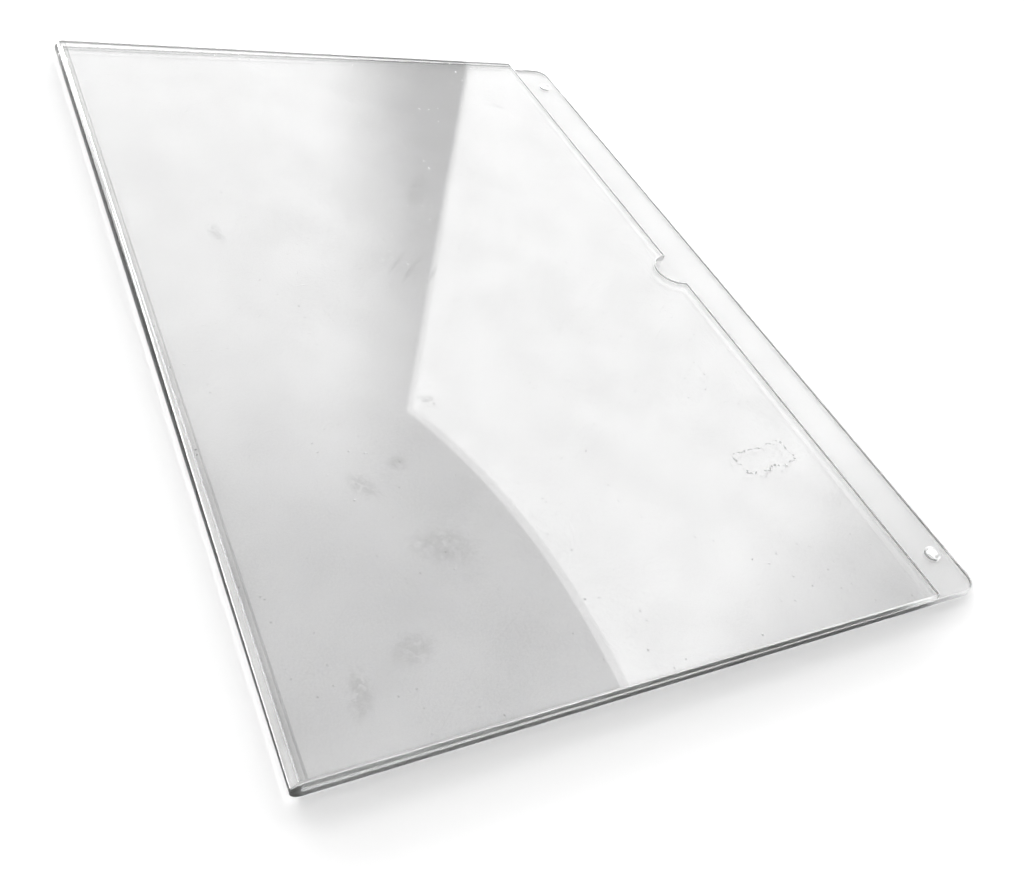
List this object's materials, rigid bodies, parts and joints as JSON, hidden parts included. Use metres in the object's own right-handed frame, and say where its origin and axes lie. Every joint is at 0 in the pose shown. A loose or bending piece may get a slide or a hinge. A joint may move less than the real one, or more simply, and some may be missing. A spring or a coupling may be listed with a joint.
{
  "type": "wall-mount sign holder",
  "caption": "Clear folded acrylic pocket for a flat printed insert: long back panel with a screw flange, U-fold, and a springy front panel with a thumb notch in its free edge.",
  "frame": {"origin": "centre of the footprint on the back face, the face that lies on the wall or table", "axes": "+X from the fold to the screw flange, +Y along the fold, +Z out of the back face towards the front panel"},
  "size_m": [0.247, 0.357, 0.0073],
  "materials": {
    "acrylic": "polished"
  },
  "bodies": {
    "back_leaf": {"back_panel": "acrylic", "screw_flange": "acrylic", "fold_back": "acrylic"},
    "front_leaf": {"fold_front": "acrylic", "front_panel": "acrylic"}
  },
  "joints": [
    {"name": "front_flex", "type": "hinge", "parent": "back_leaf", "child": "front_leaf", "pos_m": [-0.11985, 0, 0.00365], "axis": [0, -1, 0], "range_deg": [0, 3], "stiffness_Nm_per_rad": 30}
  ]
}
